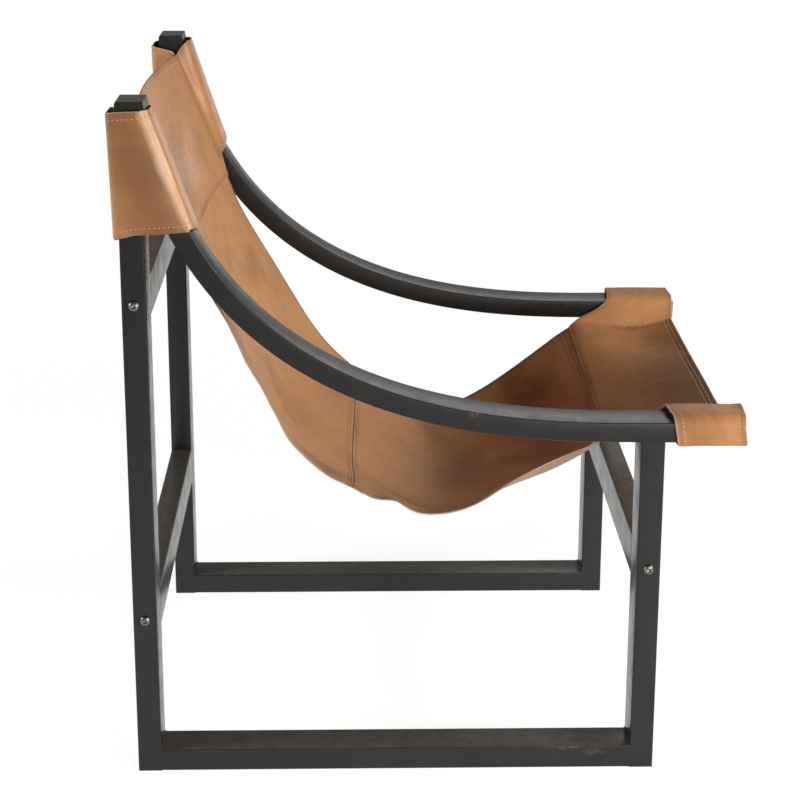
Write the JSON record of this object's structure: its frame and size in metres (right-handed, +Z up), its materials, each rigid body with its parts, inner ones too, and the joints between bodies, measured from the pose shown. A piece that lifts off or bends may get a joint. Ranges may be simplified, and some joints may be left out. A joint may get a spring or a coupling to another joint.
{
  "type": "leather sling lounge chair",
  "caption": "Low lounge chair with a black steel frame of curved arms and closed sides, and a tan leather sling seat hung from sleeves on its posts and arms.",
  "frame": {"origin": "on the floor, under the middle of the whole chair", "axes": "+Z up, the chair faces -Y, +X is the sitter's left"},
  "size_m": [0.6634, 0.7702, 0.86],
  "materials": {
    "frame_paint": "satin near-black powder coat, scuffed in places",
    "cap_paint": "satin near-black powder coat",
    "stainless": "turned stainless bolt",
    "sling_leather": "smooth tan saddle leather, semi-gloss",
    "sleeve_leather": "smooth tan saddle leather, glossy where it is pulled round the tube"
  },
  "bodies": {
    "root": {"right_rear_post": "frame_paint", "right_front_leg": "frame_paint", "right_floor_rail": "frame_paint", "right_arm": "frame_paint", "right_post_cap": "cap_paint", "right_arm_cap": "cap_paint", "right_post_plug": "cap_paint", "right_leg_plug": "cap_paint", "right_rear_weld": "frame_paint", "right_front_weld": "frame_paint", "right_rear_sleeve": "sleeve_leather", "right_front_sleeve": "sleeve_leather", "left_rear_post": "frame_paint", "left_front_leg": "frame_paint", "left_floor_rail": "frame_paint", "left_arm": "frame_paint", "left_post_cap": "cap_paint", "left_arm_cap": "cap_paint", "left_post_plug": "cap_paint", "left_leg_plug": "cap_paint", "left_rear_weld": "frame_paint", "left_front_weld": "frame_paint", "left_rear_sleeve": "sleeve_leather", "left_front_sleeve": "sleeve_leather", "upper_stretcher": "frame_paint", "lower_stretcher": "frame_paint", "front_stretcher": "frame_paint", "right_upper_stretcher_plate": "frame_paint", "right_lower_stretcher_plate": "frame_paint", "right_front_stretcher_plate": "frame_paint", "left_upper_stretcher_plate": "frame_paint", "left_lower_stretcher_plate": "frame_paint", "left_front_stretcher_plate": "frame_paint", "right_upper_stretcher_bolt": "stainless", "right_lower_stretcher_bolt": "stainless", "right_front_stretcher_bolt": "stainless", "left_upper_stretcher_bolt": "stainless", "left_lower_stretcher_bolt": "stainless", "left_front_stretcher_bolt": "stainless", "sling_back_panel": "sling_leather", "sling_lumbar_panel": "sling_leather", "sling_seat_panel": "sling_leather", "sling_front_panel": "sling_leather"}
  },
  "joints": []
}
